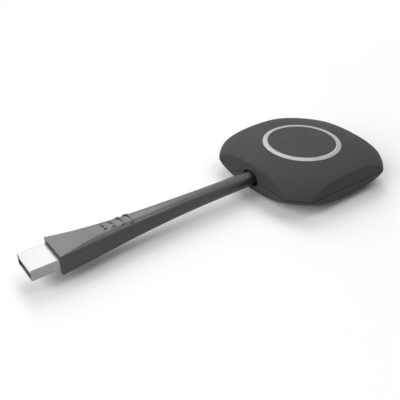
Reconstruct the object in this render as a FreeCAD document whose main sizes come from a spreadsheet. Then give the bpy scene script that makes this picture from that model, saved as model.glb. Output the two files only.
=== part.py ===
import FreeCAD, Part
import math
import os
import re
import Sketcher
from FreeCAD import Placement, Rotation, Vector

# Wireless presentation dongle: a round-cornered puck with one large button, and a straight
# moulded lead arm that ends in a USB-A plug.
# Frame: origin at the centre of the foot's flat face, +Z up, the arm runs along -X.

# Driving dimensions in millimetres: name, value, meaning
SIZES = [
    ("seam_height", 8.8, "parting plane of the case above the table, also the arm's axis plane"),
    ("seam_gap", 0.3, "shadow gap between the two covers"),
    ("flat_half", 29.18, "case half width across two flat sides, at the seam"),
    ("rim_radius", 36.02, "radius of the rounded corners about the button's axis, at the seam"),
    ("dome_rise", 8.07, "dome's top edge above the seam, at the light ring"),
    ("dome_slope", 0.127, "fall of the dome per millimetre, just outside the light ring"),
    ("dome_reach", 8.08, "length of the flat part of the dome's curve"),
    ("shoulder_inset", 1.39, "how far the dome's shoulder leans in over the rim"),
    ("shoulder_rise", 5.89, "height of the dome's shoulder above the seam"),
    ("upper_lean", 0.1, "lean of the upper flat sides, per millimetre of height"),
    ("lower_lean", 0.16, "lean of the lower flat sides, per millimetre of depth"),
    ("bowl_radius", 13.3, "radius of the bottom cover's flat underside"),
    ("bowl_reach", 4.0, "length of the flat part of the bowl's curve"),
    ("bowl_inset", 1.45, "how far the bowl's flank leans in under the rim"),
    ("bowl_drop", 6.1, "depth of the bowl's flank below the seam"),
    ("edge_round", 0.6, "rounding of the edges between the dome and the flat sides"),
    ("wall", 1.8, "wall of both covers"),
    ("lip_height", 1.2, "bottom cover's locating lip above the seam"),
    ("lip_root", 2.4, "lip's root below the seam"),
    ("lip_thick", 0.9, "thickness of the lip"),
    ("lip_gap", 0.2, "gap between the lip and the top cover's flat walls"),
    ("lip_round_gap", 0.65, "gap between the lip and the top cover's round walls"),
    ("fit_gap", 0.1, "clearance of pieces that seat in the covers"),
    ("slide_gap", 0.05, "running clearance of the button's pins and the switch's stem"),
    ("cast_gap", 0.02, "clearance between a moulding and what it was moulded round"),
    ("foot_proud", 0.5, "rubber foot below the bottom cover"),
    ("foot_thick", 1.1, "rubber foot's thickness"),
    ("foot_radius", 12.5, "rubber foot's radius"),
    ("foot_round", 0.35, "rounding of the foot's lower edge"),
    ("ring_outer", 17.05, "light ring's outer radius"),
    ("ring_inner", 14.85, "light ring's inner radius"),
    ("ring_flat", 0.85, "width of the light ring's flat top"),
    ("ring_proud", 0.4, "light ring's flat top above the dome's edge"),
    ("ring_band", 1.8, "depth of the light ring's visible band"),
    ("ring_leg", 1.05, "width of the light ring's leg"),
    ("ring_flange", 19.0, "radius of the light ring's flange"),
    ("flange_thick", 0.8, "thickness of the light ring's flange"),
    ("flange_drop", 0.3, "light ring's flange below the underside of the dome"),
    ("button_gap", 0.16, "visible gap between the button and the light ring"),
    ("button_thick", 1.5, "thickness of the button's disc"),
    ("button_sink", 0.06, "button's top below the light ring's top"),
    ("button_round", 0.35, "rounding of the button's top edge"),
    ("button_skirt", 1.2, "width of the button's skirt"),
    ("button_lip", 15.65, "radius of the lip that keeps the button under the ring"),
    ("button_lip_thick", 0.6, "thickness of that lip"),
    ("button_lip_gap", 0.3, "gap over that lip at rest"),
    ("button_travel", 0.4, "travel of the button and the switch's stem"),
    ("guide_radius", 1.2, "radius of the button's guide pins"),
    ("guide_place", 9.5, "distance of the guide pins from the axis"),
    ("guide_count", 3, "number of guide pins"),
    ("guide_end", 0.6, "guide pins' reach below the carrier"),
    ("plunger_radius", 2.2, "radius of the post that pushes the switch"),
    ("board_drop", 1.8, "underside of the main board below the seam"),
    ("board_thick", 1.2, "main board's thickness"),
    ("board_gap", 0.88, "gap between the main board's edge and the locating lip"),
    ("notch_half", 7.5, "half width of the board's notch for the lead"),
    ("notch_end", 18.2, "distance of the notch's end from the axis"),
    ("post_inset", 9.38, "case screws' distance from the inner face of the flat walls"),
    ("post_radius", 3.1, "radius of the screw posts"),
    ("screw_radius", 1.0, "case screws' shank radius"),
    ("screw_gap", 0.2, "clearance round a shank in a through hole"),
    ("head_radius", 2.0, "case screws' head radius"),
    ("head_height", 1.3, "case screws' head height"),
    ("seat_drop", 4.1, "case screws' seat below the seam"),
    ("tip_rise", 4.8, "case screws' tips above the seam"),
    ("recess_width", 0.6, "width of a cross recess"),
    ("recess_long", 0.6, "half length of a cross recess, as a share of the head's radius"),
    ("recess_deep", 0.6, "depth of a cross recess, as a share of the head's height"),
    ("carrier_rise", 2.2, "underside of the button carrier above the seam"),
    ("carrier_thick", 1.0, "carrier's thickness"),
    ("carrier_bore", 5.2, "radius of the carrier's middle opening"),
    ("carrier_rim", 0.9, "width of the rim that holds the light ring's flange up"),
    ("lug_place", 21.6, "distance of the carrier's screws from the axis"),
    ("lug_radius", 2.4, "radius of the carrier's lugs"),
    ("lug_count", 3, "number of carrier screws"),
    ("lug_screw", 0.7, "carrier screws' shank radius"),
    ("lug_head", 1.4, "carrier screws' head radius"),
    ("lug_head_height", 0.8, "carrier screws' head height"),
    ("lug_screw_reach", 2.6, "carrier screws' reach into the top cover's bosses"),
    ("light_inner", 14.2, "light board's inner radius"),
    ("light_outer", 18.0, "light board's outer radius"),
    ("light_thick", 0.8, "light board's thickness"),
    ("light_place", 16.2, "distance of the light emitters from the axis"),
    ("light_count", 12, "number of light emitters"),
    ("emitter_length", 1.6, "light emitter's length"),
    ("emitter_width", 0.8, "light emitter's width"),
    ("emitter_height", 0.6, "light emitter's height"),
    ("link_half", 4.0, "half length of the pin strip between the boards"),
    ("link_width", 1.6, "width of that strip"),
    ("link_place", 16.2, "distance of that strip from the axis"),
    ("link_pin", 0.3, "radius of its pins"),
    ("link_spacing", 2.0, "spacing of its pins"),
    ("link_count", 4, "number of its pins"),
    ("switch_half", 3.0, "tactile switch's half width"),
    ("switch_height", 3.5, "height of the switch's body"),
    ("switch_floor", 1.4, "thickness of the switch body's floor"),
    ("switch_plate", 0.3, "thickness of the switch's metal frame"),
    ("stem_radius", 1.7, "switch stem's radius"),
    ("stem_foot", 2.3, "radius of the stem's foot inside the switch"),
    ("stem_foot_thick", 1.6, "thickness of the stem's foot"),
    ("stem_proud", 1.2, "stem above the switch's frame"),
    ("chip_half", 7.0, "processor's half width"),
    ("chip_height", 1.4, "processor's height"),
    ("chip_place", 4.0, "processor's centre along X"),
    ("thermal_thick", 1.0, "thermal pad's thickness"),
    ("spreader_radius", 12.6, "heat spreader's radius"),
    ("spreader_thick", 1.0, "heat spreader's plate"),
    ("memory_width", 8.0, "memory chip's width"),
    ("memory_length", 9.0, "memory chip's length"),
    ("memory_height", 0.9, "memory chip's height"),
    ("memory_gap", 3.0, "gap between the two memory chips"),
    ("memory_side", 2.5, "memory chips' distance from the radio board along Y"),
    ("radio_edge", 3.4, "radio board's distance from the main board's edge"),
    ("radio_length", 11.5, "radio board's length"),
    ("radio_half", 6.5, "radio board's half width"),
    ("radio_thick", 0.8, "radio board's thickness"),
    ("shield_inset", 0.8, "margin of the radio board round its shield"),
    ("shield_height", 1.0, "height of the shield can"),
    ("shield_wall", 0.2, "sheet of the shield can"),
    ("antenna_length", 8.0, "chip antenna's length"),
    ("antenna_width", 1.6, "chip antenna's width"),
    ("antenna_height", 1.2, "chip antenna's height"),
    ("antenna_edge", 0.8, "chip antenna's distance from the board's edge"),
    ("antenna_gap", 3.1, "chip antenna's end from the board's rounded corner"),
    ("small_chip", 3.0, "width of the small power chips"),
    ("small_chip_height", 0.8, "height of the small power chips"),
    ("coil_width", 3.2, "width of the power inductors"),
    ("coil_height", 1.5, "height of the power inductors"),
    ("crystal_length", 3.2, "crystal's length"),
    ("crystal_width", 2.5, "crystal's width"),
    ("crystal_height", 0.8, "crystal's height"),
    ("cap_length", 1.6, "capacitor's length"),
    ("cap_width", 0.8, "capacitor's width"),
    ("cap_spacing", 1.5, "spacing of the capacitors"),
    ("socket_near", 14.0, "rear of the board socket from the axis"),
    ("socket_length", 3.6, "board socket's length"),
    ("socket_half", 4.2, "board socket's half width"),
    ("socket_height", 2.6, "board socket's height"),
    ("socket_wall", 0.6, "board socket's wall"),
    ("plug_out", 1.8, "board plug's reach out of its socket"),
    ("arm_front", 118.0, "plug end of the moulded arm from the button's axis"),
    ("arm_drop", 0.08, "arm's axis below the seam"),
    ("arm_neck", 3.05, "arm's radius where it passes the case wall"),
    ("anchor_near", 25.4, "outer face of the arm's anchor flange from the button's axis"),
    ("anchor_thick", 1.2, "thickness of the anchor flange"),
    ("anchor_radius", 4.4, "radius of the anchor flange"),
    ("anchor_tail", 22.8, "end of the moulding inside the case"),
    ("block_half", 7.0, "half width of the covers' blocks round the lead"),
    ("block_end", 23.3, "inner face of those blocks from the axis"),
    ("mouth_half", 4.75, "half width of the lead's oval opening"),
    ("mouth_rise", 3.4, "half height of the lead's oval opening"),
    ("mouth_depth", 2.7, "depth of that opening behind the flat side"),
    ("nose_round", 1.2, "rounding of the upright corners at the arm's plug end"),
    ("arm_flat", 0.05, "half width of the flats on the arm's round end section"),
    ("rib_width", 0.95, "width of the grip ribs"),
    ("rib_height", 0.35, "grip ribs above the arm's skin"),
    ("jacket_radius", 2.0, "lead jacket's radius"),
    ("jacket_wall", 0.35, "lead jacket's wall"),
    ("jacket_end", 22.0, "end of the jacket inside the case"),
    ("braid_wall", 0.25, "thickness of the braid"),
    ("braid_strip", 1.0, "jacket stripped off the braid at the case end"),
    ("wire_radius", 0.4, "radius of each insulated wire"),
    ("wire_spread", 0.62, "wires' distance from the lead's axis along Y and along Z"),
    ("wire_spacing", 1.25, "spacing of the wires in the board plug"),
    ("wire_count", 4, "number of wires"),
    ("wire_grip", 1.2, "length of the wires inside the board plug"),
    ("shell_width", 12.0, "USB-A plug shell's width"),
    ("shell_height", 4.5, "USB-A plug shell's height"),
    ("shell_sheet", 0.3, "USB-A plug shell's sheet"),
    ("shell_corner", 0.45, "outer corner radius of the plug shell"),
    ("shell_out", 10.4, "plug shell in front of the moulding"),
    ("shell_in", 5.5, "plug shell inside the moulding"),
    ("window_width", 2.0, "latch window's width along Y"),
    ("window_length", 2.5, "latch window's length along X"),
    ("window_side", 2.6, "latch windows' distance from the axis along Y"),
    ("window_back", 5.2, "latch windows' middle behind the shell's tip"),
    ("tongue_back", 0.35, "tongue's tip behind the shell's tip"),
    ("tongue_thick", 1.84, "tongue's thickness"),
    ("tongue_length", 8.8, "length of the tongue in front of its block"),
    ("contact_width", 1.0, "contact strip's width"),
    ("contact_thick", 0.25, "contact strip's thickness"),
    ("contact_inner", 1.0, "inner contacts' middle along Y"),
    ("contact_outer", 3.5, "outer contacts' middle along Y"),
    ("contact_back", 1.0, "contacts' tips behind the shell's tip"),
    ("contact_tail", 1.8, "contacts' reach behind the shell"),
    ("core_half", 6.15, "half width of the plug core's front"),
    ("core_rise", 2.5, "half height of the plug core's front"),
    ("core_tail_half", 3.6, "half width of the plug core's tail"),
    ("core_tail_rise", 2.35, "half height of the plug core's tail"),
    ("core_length", 11.5, "length of the plug core"),
    ("chamber_length", 7.0, "length of the hollow in the plug core"),
    ("chamber_half", 4.4, "half width of that hollow"),
    ("chamber_rise", 1.25, "half height of that hollow"),
    ("bend_radius", 2.4, "radius of the wires' bends"),
]

# Arm sections: distance from the button's axis, half width, half height, half width of the flat
# top, drop of the side's upper edge, corner radius below, fullness of the upper corner
ARM_SECTIONS = [
    (118.0, 7.45, 3.90, 6.95, 0.95, 0.70, 0.64),
    (106.0, 6.20, 3.85, 3.75, 2.65, 0.90, 0.66),
    (92.0, 4.95, 3.78, 1.30, 3.60, 1.80, 0.70),
    (78.0, 4.22, 3.62, 0.60, 3.55, 2.80, 0.707),
    (62.0, 3.56, 3.50, 0.12, 3.46, 3.36, 0.707),
    (44.0, 3.27, 3.26, 0.06, 3.22, 3.18, 0.707),
]

# Grip ribs: distance of the arc's middle from the button's axis, its inner radius, and half of
# the rib's length along Y
GRIP_RIBS = [
    (100.1, 2.1, 1.5),
    (97.1, 2.6, 1.95),
    (94.2, 3.4, 2.6),
    (91.6, 4.3, 3.15),
]

doc = FreeCAD.newDocument("presentation_dongle")
sheet = doc.addObject("Spreadsheet::Sheet", "Sizes")
for row, (alias, number, meaning) in enumerate(SIZES, 1):
    sheet.set("A%d" % row, alias)
    sheet.set("B%d" % row, str(number))
    sheet.set("C%d" % row, meaning)
    sheet.setAlias("B%d" % row, alias)
doc.recompute()

ALIASES = {alias for alias, number, meaning in SIZES}
DOME_TOP = "(seam_height + dome_rise)"
BOARD_UNDER = "(seam_height - board_drop)"
BOARD_TOP = "(seam_height - board_drop + board_thick)"
HEAD_SEAT = "(seam_height - seat_drop)"
SCREW_TIP = "(seam_height + tip_rise)"
CARRIER_UNDER = "(seam_height + carrier_rise)"
CARRIER_TOP = "(seam_height + carrier_rise + carrier_thick)"
LIGHT_TOP = "(%s + light_thick)" % CARRIER_TOP
EMITTER_TOP = "(%s + emitter_height)" % LIGHT_TOP
SWITCH_TOP = "(%s + switch_height + switch_plate)" % BOARD_TOP
RING_TOP = "(seam_height + dome_rise + ring_proud)"
BUTTON_TOP = "(seam_height + dome_rise + ring_proud - button_sink)"
BUTTON_UNDER = "(seam_height + dome_rise + ring_proud - button_sink - button_thick)"
BAND_UNDER = "(seam_height + dome_rise + ring_proud - ring_band)"
FLANGE_TOP = "(seam_height + dome_rise - wall - flange_drop)"
FLOOR_TOP = "(foot_proud + wall)"
ARM_AXIS = "(seam_height - arm_drop)"
SHELL_TIP = "(arm_front + shell_out)"
SHELL_REAR = "(arm_front - shell_in)"
CORE_REAR = "(arm_front - shell_in - core_length)"
BOARD_HALF = "(flat_half - wall - lip_gap - lip_thick - board_gap)"
BOARD_ROUND = "(rim_radius - wall - lip_round_gap - lip_thick - board_gap)"
POST_PLACE = "(flat_half - wall - post_inset)"
ANTENNA_SIDE = "(%s - antenna_edge)" % BOARD_HALF
ANTENNA_END = "(sqrt(%s^2 - %s^2) - antenna_gap)" % (BOARD_ROUND, ANTENNA_SIDE)
MEMORY_NEAR = "(radio_half + memory_side)"
RADIO_NEAR = "(%s - radio_edge - radio_length)" % BOARD_HALF
TONGUE_UNDER = "(seam_height - arm_drop + shell_height / 2 - shell_sheet - cast_gap - tongue_thick)"
parts = {}


# Expressions and sizes
def cell(expression):
    return re.sub(r"[a-z][a-z_]*", lambda word: "Sizes." + word.group(0)
                  if word.group(0) in ALIASES else word.group(0), str(expression))


def size(expression):
    return float(sheet.evalExpression(str(expression)))


def bind(thing, paths):
    for path, expression in paths.items():
        thing.setExpression(path, cell(expression))
    return thing


def place(thing, x="0", y="0", z="0"):
    return bind(thing, {"Placement.Base.x": x, "Placement.Base.y": y, "Placement.Base.z": z})


def node(name, thing):
    thing.Label = name
    parts[name] = thing
    return thing


# Primitives and booleans
def box(name, low, high):
    solid = doc.addObject("Part::Box", name)
    for side, start, end in zip(("Length", "Width", "Height"), low, high):
        bind(solid, {side: "(%s) - (%s)" % (end, start)})
    return place(solid, *low)


def rod(name, radius, start, length, axis="z"):
    solid = doc.addObject("Part::Cylinder", name)
    bind(solid, {"Radius": radius, "Height": length})
    if axis == "x":
        solid.Placement = Placement(Vector(), Rotation(Vector(0, 1, 0), 90))
    return place(solid, *start)


def cut(name, base, *tools):
    result = doc.addObject("Part::Cut", name)
    result.Base = base
    result.Tool = tools[0] if len(tools) == 1 else join(name + "_tools", *tools)
    return result


def join(name, *solids):
    result = doc.addObject("Part::MultiFuse", name)
    result.Shapes = list(solids)
    return result


def overlap(name, *solids):
    result = doc.addObject("Part::MultiCommon", name)
    result.Shapes = list(solids)
    return result


def group(name, *solids):
    result = doc.addObject("Part::Compound", name)
    result.Links = list(solids)
    return result


# Sketches and features of a body
def body(name):
    return node(name, doc.addObject("PartDesign::Body", name))


def sketch(owner, plane, offset="0"):
    drawing = owner.newObject("Sketcher::SketchObject", owner.Name + "_sketch")
    origin_plane = [item for item in owner.Origin.OriginFeatures if item.Role == plane + "_Plane"][0]
    drawing.AttachmentSupport = [(origin_plane, "")]
    drawing.MapMode = "FlatFace"
    return bind(drawing, {"AttachmentOffset.Base.z": offset})


def constrain(drawing, kind, name, arguments, expression):
    index = drawing.addConstraint(Sketcher.Constraint(kind, *arguments, size(expression)))
    drawing.renameConstraint(index, name)
    drawing.setExpression("Constraints." + name, cell(expression))


def outline(owner, plane, points, offset="0"):
    drawing = sketch(owner, plane, offset)
    corners = [Vector(size(x), size(y), 0) for x, y in points]
    count = len(points)
    for index in range(count):
        drawing.addGeometry(Part.LineSegment(corners[index], corners[(index + 1) % count]), False)
    for index, (x, y) in enumerate(points):
        drawing.addConstraint(Sketcher.Constraint("Coincident", index, 2, (index + 1) % count, 1))
        constrain(drawing, "DistanceX", "across%d" % index, (index, 1), x)
        constrain(drawing, "DistanceY", "up%d" % index, (index, 1), y)
    return drawing


def rectangle(owner, plane, low, high, offset="0"):
    return outline(owner, plane, [low, (high[0], low[1]), high, (low[0], high[1])], offset)


def circles(owner, plane, rings, offset="0"):
    drawing = sketch(owner, plane, offset)
    for index, (radius, x, y) in enumerate(rings):
        middle = Vector(size(x), size(y), 0)
        drawing.addGeometry(Part.Circle(middle, Vector(0, 0, 1), size(radius)), False)
        constrain(drawing, "Radius", "radius%d" % index, (index,), radius)
        constrain(drawing, "DistanceX", "across%d" % index, (index, 3), x)
        constrain(drawing, "DistanceY", "up%d" % index, (index, 3), y)
    return drawing


def pad(owner, profile, length):
    feature = owner.newObject("PartDesign::Pad", owner.Name + "_pad")
    feature.Profile = profile
    return bind(feature, {"Length": length})


def pocket(owner, profile, length):
    feature = owner.newObject("PartDesign::Pocket", owner.Name + "_pocket")
    feature.Profile = profile
    feature.Reversed = True
    return bind(feature, {"Length": length})


def revolve(owner, profile, kind="Revolution"):
    feature = owner.newObject("PartDesign::" + kind, owner.Name + "_turned")
    feature.Profile = profile
    feature.ReferenceAxis = (profile, ["V_Axis"])
    feature.Angle = 360
    return feature


def around(owner, features, count):
    pattern = owner.newObject("PartDesign::PolarPattern", owner.Name + "_pattern")
    pattern.Originals = features
    z_axis = [item for item in owner.Origin.OriginFeatures if item.Role == "Z_Axis"][0]
    pattern.Axis = (z_axis, [""])
    pattern.Angle = 360
    bind(pattern, {"Occurrences": count})
    owner.Tip = pattern
    return pattern


def soften(owner, feature, chosen, radius):
    doc.recompute()
    edges = ["Edge%d" % (index + 1) for index, edge in enumerate(feature.Shape.Edges) if chosen(edge)]
    rounded = owner.newObject("PartDesign::Fillet", owner.Name + "_rounded")
    rounded.Base = (feature, edges)
    return bind(rounded, {"Radius": radius})


def runs_along(direction):
    def test(edge):
        return isinstance(edge.Curve, Part.Line) and abs(edge.Curve.Direction.dot(direction)) > 0.999
    return test


def ring_at(radius, height):
    def test(edge):
        return (isinstance(edge.Curve, Part.Circle) and abs(edge.Curve.Radius - size(radius)) < 0.01
                and abs(edge.CenterOfMass.z - size(height)) < 0.01)
    return test


def spots(distance, count, start_angle):
    steps = [math.radians(start_angle + 360.0 * index / count) for index in range(count)]
    return [("%s * %.9f" % (distance, math.cos(step)), "%s * %.9f" % (distance, math.sin(step)))
            for step in steps]


# Case: a turned dome or bowl whose four sides are cut flat by a leaning square
def turned_blank(name, upper, inset):
    rim = size("rim_radius") - inset
    seam = size("seam_height")
    if upper:
        ring = size("ring_outer")
        top = size(DOME_TOP) - inset
        reach = size("dome_reach")
        start = Vector(ring, 0, top)
        poles = [start, Vector(ring + reach, 0, top - reach * size("dome_slope")),
                 Vector(rim - size("shoulder_inset"), 0, seam + size("shoulder_rise") - inset),
                 Vector(rim, 0, seam)]
    else:
        top = size("foot_proud") + inset
        start = Vector(size("bowl_radius"), 0, top)
        poles = [start, start + Vector(size("bowl_reach"), 0, 0),
                 Vector(rim - size("bowl_inset"), 0, seam - size("bowl_drop") + inset),
                 Vector(rim, 0, seam)]
    curve = Part.BezierCurve()
    curve.setPoles(poles)
    axis_low = Vector(0, 0, seam)
    axis_high = Vector(0, 0, top)
    edges = [Part.makeLine(axis_low, axis_high), Part.makeLine(axis_high, start), curve.toShape(),
             Part.makeLine(poles[-1], axis_low)]
    face = doc.addObject("Part::Feature", name + "_profile")
    face.Shape = Part.Face(Part.Wire(edges))
    blank = doc.addObject("Part::Revolution", name + "_turned")
    blank.Source = face
    blank.Axis = Vector(0, 0, 1)
    blank.Angle = 360
    blank.Solid = True
    return blank


def leaning_square(name, upper, inset):
    square = doc.addObject("Part::Wedge", name + "_square")
    lean = "upper_lean" if upper else "lower_lean"
    seam_half = "(flat_half - %s)" % inset
    far_half = "(flat_half - %s - seam_height * %s * 1.2)" % (inset, lean)
    low_half, high_half = (seam_half, far_half) if upper else (far_half, seam_half)
    square.Placement = Placement(Vector(), Rotation(Vector(1, 0, 0), 90))
    bind(square, {"Xmin": "-" + low_half, "Xmax": low_half, "Zmin": "-" + low_half, "Zmax": low_half,
                  "X2min": "-" + high_half, "X2max": high_half, "Z2min": "-" + high_half,
                  "Z2max": high_half, "Ymin": "0", "Ymax": "seam_height * 1.2"})
    return place(square, z="seam_height" if upper else "-seam_height * 0.2")


def case_blank(name, upper, inset):
    turned = turned_blank(name, upper, size(inset))
    return overlap(name, turned, leaning_square(name, upper, inset))


def soften_flats(name, blank):
    doc.recompute()
    rounded = doc.addObject("Part::Fillet", name)
    rounded.Base = blank
    radius = size("edge_round")
    rounded.Edges = [(index + 1, radius, radius) for index, edge in enumerate(blank.Shape.Edges)
                     if isinstance(edge.Curve, Part.BSplineCurve)]
    return rounded


def mouth(name):
    oval = doc.addObject("Part::Ellipse", name + "_oval")
    bind(oval, {"MajorRadius": "mouth_half", "MinorRadius": "mouth_rise"})
    oval.Placement = Placement(Vector(), Rotation(Vector(1, 1, 1), 120))
    place(oval, x="-flat_half - wall", z=ARM_AXIS)
    tool = doc.addObject("Part::Extrusion", name)
    tool.Base = oval
    tool.Dir = Vector(1, 0, 0)
    tool.DirMode = "Custom"
    tool.Solid = True
    return bind(tool, {"LengthFwd": "wall + mouth_depth"})


def lead_tools(name):
    start = ("-flat_half", "0", ARM_AXIS)
    passage = rod(name + "_passage", "arm_neck + fit_gap", start, "flat_half - block_end + wall", "x")
    slot = rod(name + "_slot", "anchor_radius + fit_gap", ("-anchor_near - fit_gap", "0", ARM_AXIS),
               "anchor_thick + 2 * fit_gap", "x")
    return mouth(name + "_mouth"), passage, slot


def lead_block(name, low, high):
    return box(name, ("-flat_half - wall", "-block_half", low), ("-block_end", "block_half", high))


def make_top_cover():
    outer = case_blank("top_outer", True, "0")
    inner = case_blank("top_inner", True, "wall")
    shell = cut("top_shell", soften_flats("top_soft", outer), inner)
    posts = [rod("top_post", "post_radius", (x, y, BOARD_TOP), "dome_rise", "z")
             for x, y in corner_places()]
    bosses = [rod("top_boss", "lug_radius", (x, y, CARRIER_TOP), "dome_rise", "z")
              for x, y in spots("lug_place", round(size("lug_count")), 90)]
    block = lead_block("top_block", "seam_height", DOME_TOP)
    fill_outer = case_blank("top_fill", True, "wall * 0.5")
    below = box("top_below", ("-flat_half", "-flat_half", BOARD_TOP),
                ("flat_half", "flat_half", "seam_height"))
    inside = overlap("top_inside", join("top_solids", *posts, *bosses, block),
                     join("top_room", fill_outer, below))
    opening = rod("top_opening", "ring_outer + fit_gap", ("0", "0", "seam_height"), "dome_rise + wall")
    post_holes = [rod("top_post_hole", "screw_radius + cast_gap", (x, y, BOARD_UNDER),
                      SCREW_TIP + " - " + BOARD_UNDER + " + fit_gap") for x, y in corner_places()]
    boss_holes = [rod("top_boss_hole", "lug_screw + cast_gap", (x, y, CARRIER_UNDER),
                      "carrier_thick + lug_screw_reach + fit_gap")
                  for x, y in spots("lug_place", round(size("lug_count")), 90)]
    seam_cut = cut("top_seam", box("top_layer", ("-rim_radius", "-rim_radius", "0"),
                                   ("rim_radius", "rim_radius", "seam_height + seam_gap / 2")),
                   *[rod("top_keep", "post_radius", (x, y, "0"), "seam_height + dome_rise")
                     for x, y in corner_places()])
    whole = join("top_whole", shell, inside)
    node("top_cover", cut("top_cover", whole, opening, seam_cut, *post_holes, *boss_holes,
                          *lead_tools("top_lead")))


def corner_places():
    return [(a + POST_PLACE, b + POST_PLACE) for a in ("", "-") for b in ("", "-")]


def rounded_square(name, flat_gap, round_gap, low, high):
    half = "(flat_half - (%s))" % flat_gap
    square = box(name + "_square", ("-" + half, "-" + half, low), (half, half, high))
    disc = rod(name + "_disc", "rim_radius - (%s)" % round_gap, ("0", "0", low),
               "(%s) - (%s)" % (high, low))
    return overlap(name, square, disc)


def make_lip():
    low, high = "seam_height - lip_root", "seam_height + lip_height"
    rise = rounded_square("lip_rise", "wall + lip_gap", "wall + lip_round_gap", low, high)
    room = rounded_square("lip_room", "wall + lip_gap + lip_thick", "wall + lip_round_gap + lip_thick",
                          low, high)
    root = box("lip_root_layer", ("-rim_radius", "-rim_radius", low),
               ("rim_radius", "rim_radius", "seam_height"))
    return cut("lip_base", root, room), cut("lip", rise, room)


def make_bottom_cover():
    outer = case_blank("bottom_outer", False, "0")
    inner = case_blank("bottom_inner", False, "wall")
    shell = cut("bottom_shell", soften_flats("bottom_soft", outer), inner)
    posts = [rod("bottom_post", "post_radius", (x, y, "0"), BOARD_UNDER) for x, y in corner_places()]
    block = lead_block("bottom_block", "0", "seam_height")
    lip_base, lip = make_lip()
    inside = overlap("bottom_inside", join("bottom_solids", *posts, block, lip_base),
                     case_blank("bottom_fill", False, "wall * 0.5"))
    recess = rod("foot_recess", "foot_radius + fit_gap", ("0", "0", "0"), "foot_thick")
    holes = []
    for x, y in corner_places():
        holes.append(rod("bottom_hole", "screw_radius + screw_gap", (x, y, "0"), BOARD_UNDER))
        holes.append(rod("bottom_head", "head_radius + screw_gap", (x, y, "0"), HEAD_SEAT))
    above = box("bottom_above", ("-rim_radius", "-rim_radius", "seam_height - seam_gap / 2"),
                ("rim_radius", "rim_radius", DOME_TOP))
    block_room = box("bottom_block_room",
                     ("-rim_radius", "-block_half - fit_gap", "seam_height - seam_gap / 2"),
                     ("-block_end + fit_gap", "block_half + fit_gap", DOME_TOP))
    lower = cut("bottom_lower", join("bottom_whole", shell, inside), above)
    whole = join("bottom_lipped", lower, lip)
    node("bottom_cover", cut("bottom_cover", whole, recess, block_room, *holes,
                             *lead_tools("bottom_lead")))


# Foot, light ring and button
def make_foot_pad():
    pad_body = body("foot_pad")
    disc = pad(pad_body, circles(pad_body, "XY", [("foot_radius", "0", "0")]), "foot_thick")
    soften(pad_body, disc, ring_at("foot_radius", "0"), "foot_round")


def make_light_ring():
    ring = body("light_ring")
    leg_inner = "ring_outer - ring_leg"
    flange_under = FLANGE_TOP + " - flange_thick"
    revolve(ring, outline(ring, "XZ", [
        ("ring_inner", BAND_UNDER), (leg_inner, BAND_UNDER), (leg_inner, EMITTER_TOP + " + fit_gap"),
        ("ring_outer", EMITTER_TOP + " + fit_gap"), ("ring_outer", flange_under),
        ("ring_flange", flange_under), ("ring_flange", FLANGE_TOP), ("ring_outer", FLANGE_TOP),
        ("ring_outer", DOME_TOP), ("ring_inner + ring_flat", RING_TOP), ("ring_inner", RING_TOP)]))


def make_button_cap():
    cap = body("button_cap")
    edge = "(ring_inner - button_gap)"
    lip_top = "(%s - button_lip_gap)" % BAND_UNDER
    lip_under = "(%s - button_lip_thick)" % lip_top
    disc = revolve(cap, outline(cap, "XZ", [
        ("0", BUTTON_UNDER), (edge + " - button_skirt", BUTTON_UNDER),
        (edge + " - button_skirt", lip_under), ("button_lip", lip_under), ("button_lip", lip_top),
        (edge, lip_top), (edge, BUTTON_TOP), ("0", BUTTON_TOP)]))
    plunger_end = SWITCH_TOP + " + stem_proud"
    pad(cap, circles(cap, "XY", [("plunger_radius", "0", "0")], plunger_end),
        BUTTON_UNDER + " - (" + plunger_end + ") + button_thick / 2")
    guide_low = CARRIER_UNDER + " - guide_end"
    guides = [("guide_radius", x, y) for x, y in spots("guide_place", round(size("guide_count")), 30)]
    last = pad(cap, circles(cap, "XY", guides, guide_low),
               BUTTON_UNDER + " - (" + guide_low + ") + button_thick / 2")
    soften(cap, last, ring_at(edge, BUTTON_TOP), "button_round")


# Button carrier and light board
def make_button_carrier():
    carrier = body("button_carrier")
    rim_outer = "ring_flange"
    pad(carrier, circles(carrier, "XY", [(rim_outer, "0", "0"), ("carrier_bore", "0", "0")],
                         CARRIER_UNDER), "carrier_thick")
    pad(carrier, circles(carrier, "XY", [(rim_outer, "0", "0"), ("ring_flange - carrier_rim", "0", "0")],
                         CARRIER_UNDER), FLANGE_TOP + " - flange_thick - " + CARRIER_UNDER)
    arm = pad(carrier, rectangle(carrier, "XY", ("-lug_radius", "ring_flange - lug_radius"),
                                 ("lug_radius", "lug_place"), CARRIER_UNDER), "carrier_thick")
    lug = pad(carrier, circles(carrier, "XY", [("lug_radius", "0", "lug_place")], CARRIER_UNDER),
              "carrier_thick")
    around(carrier, [arm, lug], "lug_count")
    lug_hole = pocket(carrier, circles(carrier, "XY", [("lug_screw + slide_gap", "0", "lug_place")],
                                       CARRIER_UNDER), "carrier_thick")
    around(carrier, [lug_hole], "lug_count")
    guides = [("guide_radius + slide_gap", x, y)
              for x, y in spots("guide_place", round(size("guide_count")), 30)]
    pocket(carrier, circles(carrier, "XY", guides, CARRIER_UNDER), "carrier_thick")
    link_low = ("-link_half - fit_gap", "-link_place - link_width / 2 - fit_gap")
    link_high = ("link_half + fit_gap", "-link_place + link_width / 2 + fit_gap")
    pocket(carrier, rectangle(carrier, "XY", link_low, link_high, CARRIER_UNDER), "carrier_thick")


def make_light_board():
    board = body("light_board")
    pad(board, circles(board, "XY", [("light_outer", "0", "0"), ("light_inner", "0", "0")], CARRIER_TOP),
        "light_thick")


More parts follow.
